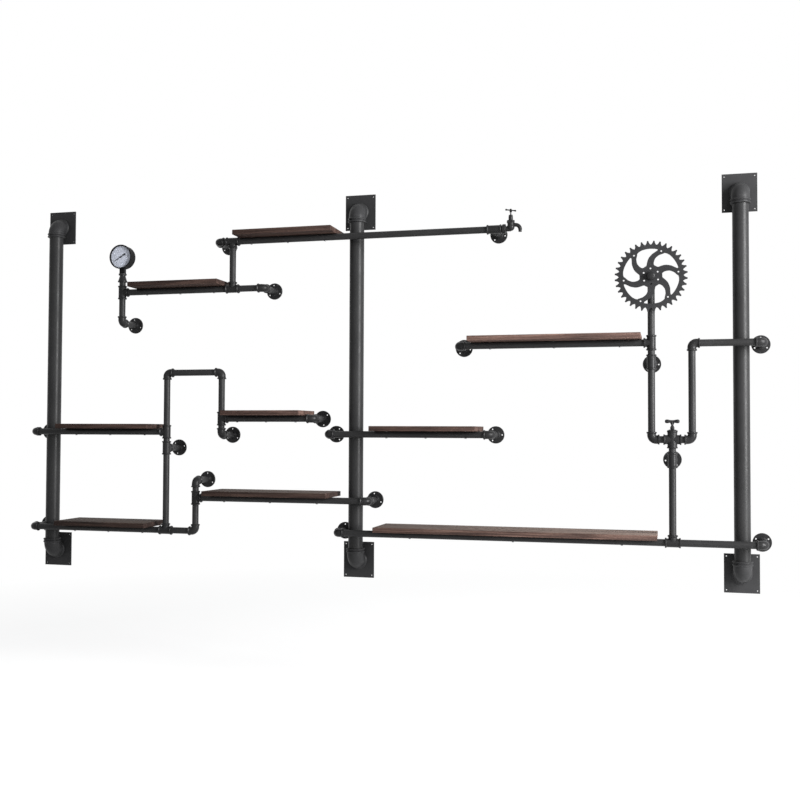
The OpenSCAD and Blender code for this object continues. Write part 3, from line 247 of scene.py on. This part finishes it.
def finish_piece(piece, name, finish, body, angle=35):
    piece.name = piece.data.name = name
    set_place(piece)
    bpy.ops.object.mode_set(mode="EDIT")
    bpy.ops.mesh.select_all(action="SELECT")
    bpy.ops.mesh.normals_make_consistent(inside=False)
    bpy.ops.object.mode_set(mode="OBJECT")
    bpy.ops.object.shade_smooth_by_angle(angle=math.radians(angle))
    piece.data.materials.clear()
    piece.data.materials.append(finish)
    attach(piece, body)


def join(pieces):
    bpy.ops.object.select_all(action="DESELECT")
    for piece in pieces:
        piece.select_set(True)
    bpy.context.view_layer.objects.active = pieces[0]
    bpy.ops.object.join()
    return pieces[0]


THREAD_PITCH, THREAD_TURNS, THREAD_PROUD = 0.0018, 2.5, 0.00045


def thread_turns(radius):
    bpy.ops.object.select_all(action="DESELECT")
    bpy.ops.mesh.primitive_circle_add(
        vertices=3, radius=THREAD_PROUD * 2, location=(radius - THREAD_PROUD, 0, 0),
        rotation=(math.pi / 2, math.pi / 6, 0))
    turns = bpy.context.object
    bpy.ops.object.transform_apply(location=True, rotation=True, scale=True)
    screw = turns.modifiers.new("turns", "SCREW")
    screw.axis = "Z"
    screw.angle = 2 * math.pi * THREAD_TURNS
    screw.screw_offset = THREAD_PITCH * THREAD_TURNS
    screw.steps = screw.render_steps = 60
    screw.use_merge_vertices = False
    apply_all(turns)
    bpy.ops.object.mode_set(mode="EDIT")
    bpy.ops.mesh.select_all(action="DESELECT")
    bpy.ops.mesh.select_non_manifold()
    bpy.ops.mesh.fill()
    bpy.ops.object.mode_set(mode="OBJECT")
    return turns


def copy_to(model, matrix):
    piece = model.copy()
    piece.data = model.data.copy()
    bpy.context.collection.objects.link(piece)
    piece.data.transform(matrix)
    return piece


PIPE_R = (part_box("rail_middle")[1][2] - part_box("rail_middle")[0][2]) / 2
# How far a pipe goes into a fitting
GRIP = 0.01225
# The wall end of a nipple lies hidden in its flange, so a pipe along Y gets one thread only.
WALLWARD = 1
thread_model = thread_turns(PIPE_R)
for name in threaded_pipes:
    ends = []
    for low, high in pipe_solids(name):
        span = high - low
        along = max(range(3), key=lambda k: span[k])
        middle = (low + high) / 2
        for end, sign in ((low, 1), (high, -1)):
            if along == WALLWARD and sign == -1:
                continue
            face = middle.copy()
            face[along] = end[along] + sign * GRIP
            out = Vector((0, 0, 0))
            out[along] = sign
            ends.append(copy_to(thread_model, Matrix.Translation(face)
                                @ out.to_track_quat("Z", "X").to_matrix().to_4x4()))
    finish_piece(join(ends), name + "_threads", pipe_paint, "frame", angle=50)
bpy.data.objects.remove(thread_model)

# Small fittings.
# Elbows, tees and the cross are cast in malleable iron, beaded at each mouth.
# They are painted with the pipes, and the sand of the mould shows under the coat.
cast_paint = paint("cast_paint", (0.0145, 0.0145, 0.015),
                   powder=0.00005, cast=0.00016, gloss=0.34)
coat(cast_paint, "tees_upper", "tees_right", "tees_lower", "cross_fitting",
     "elbows_upper", "elbows_right", "elbows_lower", "wheel_elbow", "wheel_cap")

# Wall flanges.
# Round cast flanges with a raised hub, which the short wall nipples screw into.
# Each has three holes for the wall screws.
coat(cast_paint, "flanges_upper", "flanges_right", "flanges_lower")


# Boards.
# Solid planks stained dark walnut and finished with wax, with eased edges, laid on the rails.
# The grain runs along each plank and its end shows the rings.
# The upper faces carry a painted sheen, a lighter grey tone, which is stronger where the stain is
# lighter, on the boards at the right.
# Grey of the painted sheen on the upper faces, and the tone of the worn spots
PAINTED_SHEEN_GREY, WEAR_TONE = (0.34, 0.29, 0.26), (0.16, 0.12, 0.1)
LINES_SHARE, PORES_SHARE, WEAR_SHARE = 0.75, 0.8, 0.3
PORE_DEPTH, STREAK_DEPTH = 0.0002, 0.00025
# How much of the noise is stretched along X, where the grain runs, and across it
FIGURE_STRETCH, STREAK_STRETCH, PORE_STRETCH = (0.9, 9, 14), (0.7, 22, 34), (1.2, 26, 26)
# Tones of the grain from late wood to early wood
GRAIN_TONES = ((0.28, (0.0275, 0.0183, 0.0158)), (0.46, (0.051, 0.0315, 0.0264)),
               (0.58, (0.078, 0.0485, 0.0402)), (0.78, (0.115, 0.0748, 0.0612)))


def walnut(name, start, stain):
    finish, nodes, links = new_finish(name)
    figure = object_noise(nodes, links, 3.2, 9, FIGURE_STRETCH, start, distortion=0.9)
    streaks = object_noise(nodes, links, 9, 6, STREAK_STRETCH, start, distortion=0.3)
    pores = object_noise(nodes, links, 60, 3, PORE_STRETCH, start)
    wear = object_noise(nodes, links, 26, 6, start=start)
    base = ramp(nodes, links, figure, [(at, toned(tone, stain)) for at, tone in GRAIN_TONES])
    lines = ramp(nodes, links, streaks, [(0.36, (0.48, 0.43, 0.41)), (0.6, (1.22, 1.2, 1.18))])
    color = blend_color(nodes, links, LINES_SHARE, base, lines, "MULTIPLY")
    pore_mask = ramp(nodes, links, pores, [(0.36, (0.35, 0.33, 0.32)), (0.46, WHITE)])
    color = blend_color(nodes, links, PORES_SHARE, color, pore_mask, "MULTIPLY")
    worn = ramp(nodes, links, wear, [(0.66, BLACK), (0.82, WHITE)])
    color = blend_color(nodes, links, part_of(nodes, links, worn, WEAR_SHARE), color, WEAR_TONE)
    # The upper face gets a painted sheen: a lighter grey tone, stronger on the lighter boards
    facing = nodes.new("ShaderNodeNewGeometry")
    split = nodes.new("ShaderNodeSeparateXYZ")
    links.new(facing.outputs["True Normal"], split.inputs["Vector"])
    upward = ramp(nodes, links, split.outputs["Z"], [(0.6, BLACK), (0.95, WHITE)])
    grain = ramp(nodes, links, figure, [(0.3, (0.62, 0.6, 0.58)), (0.66, (1.2, 1.18, 1.16))])
    painted_sheen_color = blend_color(nodes, links, 1.0, grain, PAINTED_SHEEN_GREY, "MULTIPLY")
    painted_sheen_color = blend_color(nodes, links, 0.8, painted_sheen_color, lines, "MULTIPLY")
    painted_sheen_share = 0.08 + 0.19 * stain
    with_painted_sheen = blend_color(nodes, links, painted_sheen_share, color, painted_sheen_color)
    color = blend_color(nodes, links, upward, color, with_painted_sheen)
    rough = spread(nodes, links, streaks, 0.68, 0.85)
    shader = surface(nodes, links, color, rough,
                     raise_bumps(nodes, links, [(pores, PORE_DEPTH), (streaks, STREAK_DEPTH)]))
    shader.inputs["Specular IOR Level"].default_value = 0.15
    return finish


# Radius of the eased edges, and how far the grain of one board lies from that of the next
BOARD_EDGE = 0.0011
GRAIN_STEP = (1.37, 0.61, 0.29)
# How light the stain took on each board
boards = {"board_top_left": 0.95, "board_middle": 1.2, "board_gauge": 0.88, "board_left": 0.84,
          "board_centre": 1.5, "board_right": 2.12, "board_low_left": 0.5, "board_low_centre": 0.68,
          "board_low_right": 1.55}
for number, (node, stain) in enumerate(boards.items()):
    low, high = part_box(node)
    bpy.ops.object.select_all(action="DESELECT")
    bpy.ops.mesh.primitive_cube_add(size=1, location=(low + high) / 2, scale=high - low)
    plank = bpy.context.object
    bpy.ops.object.transform_apply(location=True, rotation=True, scale=True)
    ease = plank.modifiers.new("eased edges", "BEVEL")
    ease.width = BOARD_EDGE
    ease.segments = 3
    apply_all(plank)
    place = node.removeprefix("board_")
    wood = walnut("walnut_" + place, tuple(number * step for step in GRAIN_STEP), stain)
    finish_piece(plank, "plank_" + place, wood, "frame")
    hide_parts(node)

# Board screws.
# Steel pan head screws with a cross recess, three to a plank.
# They are driven up through the rail, so that nothing shows on the boards.
def brushed(name, tone, roughness):
    finish, nodes, links = new_finish(name)
    turned = object_noise(nodes, links, 900, 3, (1, 1, 0.2))
    stain = object_noise(nodes, links, 120, 4)
    color = ramp(nodes, links, stain, [(0.3, toned(tone, 0.7)), (0.7, tone)])
    rough = spread(nodes, links, turned, roughness - 0.06, roughness + 0.1)
    lay = raise_bumps(nodes, links, [(turned, 0.00002)])
    surface(nodes, links, color, rough, lay, metallic=1.0)
    return finish


bright_steel = brushed("bright_steel", (0.42, 0.42, 0.43), 0.34)
HEAD_R, HEAD_H, SHANK_R, SHANK_L = 0.0042, 0.0026, 0.0023, 0.03
bpy.ops.object.select_all(action="DESELECT")
bpy.ops.mesh.primitive_cylinder_add(
    vertices=24, radius=HEAD_R, depth=HEAD_H, location=(0, 0, HEAD_H / 2))
head = bpy.context.object
bpy.ops.object.transform_apply(location=True, rotation=True, scale=True)
round_off = head.modifiers.new("round off", "BEVEL")
round_off.width = HEAD_H * 0.45
round_off.segments = 4
round_off.limit_method = "ANGLE"
recesses = []
for turn in (0, math.pi / 2):
    bpy.ops.mesh.primitive_cube_add(size=1, location=(0, 0, 0), rotation=(0, 0, turn),
                                    scale=(HEAD_R * 1.1, HEAD_R * 0.24, HEAD_H * 0.9))
    recesses.append(bpy.context.object)
    cut = head.modifiers.new("cross recess", "BOOLEAN")
    cut.operation = "DIFFERENCE"
    cut.object = recesses[-1]
    cut.solver = "EXACT"
apply_all(head)
for recess in recesses:
    bpy.data.objects.remove(recess)
bpy.ops.object.select_all(action="DESELECT")
bpy.ops.mesh.primitive_cylinder_add(
    vertices=16, radius=SHANK_R, depth=SHANK_L, location=(0, 0, HEAD_H + SHANK_L / 2))
shank = bpy.context.object
bpy.ops.object.transform_apply(location=True, rotation=True, scale=True)
screw_model = join([head, shank])
# Where the screws stand along a board; their line in Y is that of the CAD screws
SCREW_SHARES = (0.12, 0.5, 0.88)
screws_low, screws_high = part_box("board_screws")
SCREW_Y = (screws_low.y + screws_high.y) / 2
screws = []
for node in boards:
    low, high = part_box(node)
    rail_low = low.z - 2 * PIPE_R
    for share in SCREW_SHARES:
        spot = Vector((low.x + (high.x - low.x) * share, SCREW_Y, rail_low - HEAD_H))
        chance_turn = Matrix.Rotation(share * 7 + low.x * 9, 4, "Z")
        screws.append(copy_to(screw_model, Matrix.Translation(spot) @ chance_turn))
finish_piece(join(screws), "pan_head_screws", bright_steel, "frame")
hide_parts("board_screws")
bpy.data.objects.remove(screw_model)

# Toothed wheel.
# Cut from steel plate, with 36 teeth and six swept arms, and painted like the rest.
# It turns on its own nipple behind a domed cap.
wheel_paint = paint("wheel_paint", (0.021, 0.021, 0.022),
                    powder=0.00005, cast=0.0001, gloss=0.55)
coat(wheel_paint, "toothed_wheel")

# Gauge.
# A round steel case on a short stem, screwed into a reducing socket.
# Its printed dial and black pointer lie behind glass, which a rolled bezel holds.
coat(cast_paint, "gauge_socket")
gauge_paint = paint("gauge_paint", (0.006, 0.006, 0.0064),
                    powder=0.00003, cast=0.00002, gloss=0.5, shine=0.07)
coat(gauge_paint, "gauge_case", "gauge_bezel")
dial_low, dial_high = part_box("gauge_dial")
DIAL_X, DIAL_Z = (dial_low.x + dial_high.x) / 2, (dial_low.z + dial_high.z) / 2
DIAL_FRONT = dial_low.y


def printed(name, tone, gloss, mottle, shine=0.5):
    finish, nodes, links = new_finish(name)
    haze = object_noise(nodes, links, 60, 4)
    grain = object_noise(nodes, links, 1500, 2)
    color = ramp(nodes, links, haze, [
        (0.3, toned(tone, 1 - mottle)), (0.7, toned(tone, 1 + mottle))])
    rough = spread(nodes, links, haze, gloss - 0.04, gloss + 0.06)
    shader = surface(nodes, links, color, rough, raise_bumps(nodes, links, [(grain, 0.000012)]))
    shader.inputs["Specular IOR Level"].default_value = shine
    return finish


dial_face = printed("dial_face", (0.59, 0.62, 0.71), gloss=0.45, mottle=0.05)
dial_ink = printed("dial_ink", (0.03, 0.032, 0.05), gloss=0.5, mottle=0.1, shine=0.25)
pale_ink = printed("pale_ink", (0.15, 0.16, 0.2), gloss=0.5, mottle=0.08)
black_enamel = printed("black_enamel", (0.008, 0.008, 0.011),
                       gloss=0.3, mottle=0.15, shine=0.08)
coat(dial_face, "gauge_dial")
coat(black_enamel, "gauge_pointer")

# Scale printed on the dial: marks round its edge, plain numbers and a smaller inner ring.
SCALE_START, SCALE_SWEEP = 225, 270
PRINT_T = 0.00012


def on_dial(radius, degrees):
    a = math.radians(degrees)
    return Vector((DIAL_X + radius * math.cos(a), DIAL_FRONT - PRINT_T / 2,
                   DIAL_Z + radius * math.sin(a)))


def scale_marks(count, long_every, outer, short_l, long_l, width):
    marks = []
    for k in range(count + 1):
        degrees = SCALE_START - SCALE_SWEEP * k / count
        mark_l = long_l if k % long_every == 0 else short_l
        mark_w = width * (1.6 if k % long_every == 0 else 1)
        bpy.ops.object.select_all(action="DESELECT")
        bpy.ops.mesh.primitive_cube_add(
            size=1, location=on_dial(outer - mark_l / 2, degrees),
            rotation=(0, -math.radians(degrees), 0), scale=(mark_l, PRINT_T, mark_w))
        marks.append(bpy.context.object)
        set_place(marks[-1])
    return join(marks)


edge_marks = scale_marks(count=50, long_every=10, outer=0.0435,
                         short_l=0.0026, long_l=0.0052, width=0.00038)
finish_piece(edge_marks, "dial_marks", dial_ink, "frame")
inner_marks = scale_marks(count=30, long_every=5, outer=0.0245,
                          short_l=0.0014, long_l=0.0026, width=0.0003)
finish_piece(inner_marks, "dial_inner_marks", pale_ink, "frame")


def number_print(words, radius, degrees, size):
    bpy.ops.object.select_all(action="DESELECT")
    bpy.ops.object.text_add(location=on_dial(radius, degrees), rotation=(math.pi / 2, 0, 0))
    text = bpy.context.object
    text.data.body = words
    text.data.size = size
    text.data.align_x, text.data.align_y = "CENTER", "CENTER"
    text.data.extrude = PRINT_T / 2
    text.data.resolution_u = 3
    bpy.ops.object.convert(target="MESH")
    number = bpy.context.object
    set_place(number)
    return number


NUMBERS_R, NUMBERS_SIZE = 0.0325, 0.0092
numbers = [number_print(str(k * 2), NUMBERS_R, SCALE_START - SCALE_SWEEP * k / 5, NUMBERS_SIZE)
           for k in range(6)]
finish_piece(join(numbers), "dial_numbers", dial_ink, "frame")

# Glass: a clear flat disc held by the bezel.
GLASS_TINT, GLASS_ALPHA = (0.5, 0.53, 0.55), 0.04
glass, nodes, links = new_finish("gauge_window")
smear = object_noise(nodes, links, 40, 3)
clear = surface(nodes, links, GLASS_TINT, spread(nodes, links, smear, 0.04, 0.1), None)
clear.inputs["Alpha"].default_value = GLASS_ALPHA
coat(glass, "gauge_glass")

# Tap.
# A cast bib tap with a bonnet, a gland nut and a cross bar with a ball at each end.
# Its jumper rises with the spindle and opens the way to the spout.
coat(cast_paint, "tap_body", "tap_bonnet")
coat(gauge_paint, "tap_handle")
dark_steel = brushed("dark_steel", (0.035, 0.035, 0.037), 0.45)
coat(dark_steel, "tap_jumper", "tap_spindle")

# Wing valve.
# A bonnet screwed into the cross, with a pear shaped gland and a handle with two round wings.
coat(cast_paint, "valve_bonnet", "valve_handle")
coat(dark_steel, "valve_spindle")

# Room.
# A pale floor under the unit, which hangs in front of plain white, as in the photograph.
# The camera, glossy faces and glass see that white; what lights the object is a weaker room.
FLOOR_Z, FLOOR_SIDE = -1.3, 30.0
# Round the middle of the floor its white keeps the unit's soft shadow, out to SHADOW_END
SHADOW_GLOW, SHADOW_TONE = 0.8, (0.4, 0.4, 0.4, 1)
SHADOW_FULL, SHADOW_END = 2.4, 4.2
FLOOR_TONE, ROOM_TONE, ROOM_LIGHT = (0.85, 0.85, 0.85, 1), (0.95, 0.97, 1, 1), 0.18


def seen_plainly(nodes, links):
    path = nodes.new("ShaderNodeLightPath")
    seen = path.outputs["Is Camera Ray"]
    for kind in ("Is Glossy Ray", "Is Transmission Ray"):
        either = nodes.new("ShaderNodeMath")
        either.operation = "MAXIMUM"
        links.new(seen, either.inputs[0])
        links.new(path.outputs[kind], either.inputs[1])
        seen = either.outputs[0]
    return seen


bpy.ops.object.select_all(action="DESELECT")
bpy.ops.mesh.primitive_plane_add(size=FLOOR_SIDE, location=(0, 0, FLOOR_Z))
floor = bpy.context.object
floor.name = "floor"
pale, nodes, links = new_finish("pale_floor")
shade = nodes.new("ShaderNodeBsdfDiffuse")
shade.inputs["Color"].default_value = FLOOR_TONE
white = nodes.new("ShaderNodeEmission")
white.inputs["Strength"].default_value = 1
glow = nodes.new("ShaderNodeEmission")
glow.inputs["Strength"].default_value = SHADOW_GLOW
soft_shade = nodes.new("ShaderNodeBsdfDiffuse")
soft_shade.inputs["Color"].default_value = SHADOW_TONE
shadowed = nodes.new("ShaderNodeAddShader")
links.new(glow.outputs["Emission"], shadowed.inputs[0])
links.new(soft_shade.outputs["BSDF"], shadowed.inputs[1])
spot = nodes.new("ShaderNodeTexCoord")
reach = nodes.new("ShaderNodeVectorMath")
reach.operation = "LENGTH"
links.new(spot.outputs["Object"], reach.inputs[0])
near = nodes.new("ShaderNodeMapRange")
near.inputs["From Min"].default_value = SHADOW_FULL
near.inputs["From Max"].default_value = SHADOW_END
near.inputs["To Min"].default_value = 1
near.inputs["To Max"].default_value = 0
links.new(reach.outputs["Value"], near.inputs["Value"])
plain = nodes.new("ShaderNodeMixShader")
links.new(near.outputs["Result"], plain.inputs["Fac"])
links.new(white.outputs["Emission"], plain.inputs[1])
links.new(shadowed.outputs["Shader"], plain.inputs[2])
mixed = nodes.new("ShaderNodeMixShader")
links.new(seen_plainly(nodes, links), mixed.inputs["Fac"])
links.new(shade.outputs["BSDF"], mixed.inputs[1])
links.new(plain.outputs["Shader"], mixed.inputs[2])
out = nodes.new("ShaderNodeOutputMaterial")
links.new(mixed.outputs["Shader"], out.inputs["Surface"])
floor.data.materials.append(pale)

world = bpy.data.worlds.new("white_room")
bpy.context.scene.world = world
world.use_nodes = True
nodes, links = world.node_tree.nodes, world.node_tree.links
nodes.clear()
room = nodes.new("ShaderNodeBackground")
room.inputs["Color"].default_value = ROOM_TONE
room.inputs["Strength"].default_value = ROOM_LIGHT
backdrop = nodes.new("ShaderNodeBackground")
backdrop.inputs["Color"].default_value = (1, 1, 1, 1)
backdrop.inputs["Strength"].default_value = 1
mixed = nodes.new("ShaderNodeMixShader")
links.new(seen_plainly(nodes, links), mixed.inputs["Fac"])
links.new(room.outputs["Background"], mixed.inputs[1])
links.new(backdrop.outputs["Background"], mixed.inputs[2])
out = nodes.new("ShaderNodeOutputWorld")
links.new(mixed.outputs["Shader"], out.inputs["Surface"])


# Lamps.
# A large soft box at the front right makes the light band down the right of each pipe.
# A weaker one at the front fills the left.
def soft_box(name, place, target, width, height, watts):
    bpy.ops.object.select_all(action="DESELECT")
    bpy.ops.object.light_add(type="AREA", location=place)
    lamp = bpy.context.object
    lamp.name = name
    lamp.rotation_euler = (Vector(target) - Vector(place)).to_track_quat("-Z", "Y").to_euler()
    lamp.data.shape = "RECTANGLE"
    lamp.data.size, lamp.data.size_y = width, height
    lamp.data.energy = watts
    return lamp


soft_box("key_lamp", place=(4.6, -2.1, 0.9), target=(0.6, 0, 0), width=1.7, height=3.2, watts=560)
soft_box("fill_lamp", place=(2.2, -6.5, 1.6), target=(0, 0, 0), width=3.0, height=3.0, watts=44)

# Camera.
# It stands low and to the right of the middle column, turned left and a little up.
# Its place and turn were fitted to the photograph.
CAMERA_PLACE = (1.2624, -4.1291, -0.1946)
YAW, PITCH, ROLL = math.radians(14.7727), math.radians(1.7694), math.radians(0.2155)
IMAGE_SIDE, FOCAL_PIXELS = 800, 1030.95
view = Vector((-math.sin(YAW) * math.cos(PITCH), math.cos(YAW) * math.cos(PITCH), math.sin(PITCH)))
level = Vector((math.cos(YAW), math.sin(YAW), 0))
above = level.cross(view)
right = math.cos(ROLL) * level + math.sin(ROLL) * above
up = -math.sin(ROLL) * level + math.cos(ROLL) * above
bpy.ops.object.select_all(action="DESELECT")
bpy.ops.object.camera_add(location=CAMERA_PLACE)
camera = bpy.context.object
camera.rotation_euler = Matrix((right, up, -view)).transposed().to_euler()
camera.data.sensor_width = 36
camera.data.lens = FOCAL_PIXELS / IMAGE_SIDE * camera.data.sensor_width
bpy.context.scene.camera = camera
bpy.context.scene.view_settings.view_transform = "Standard"
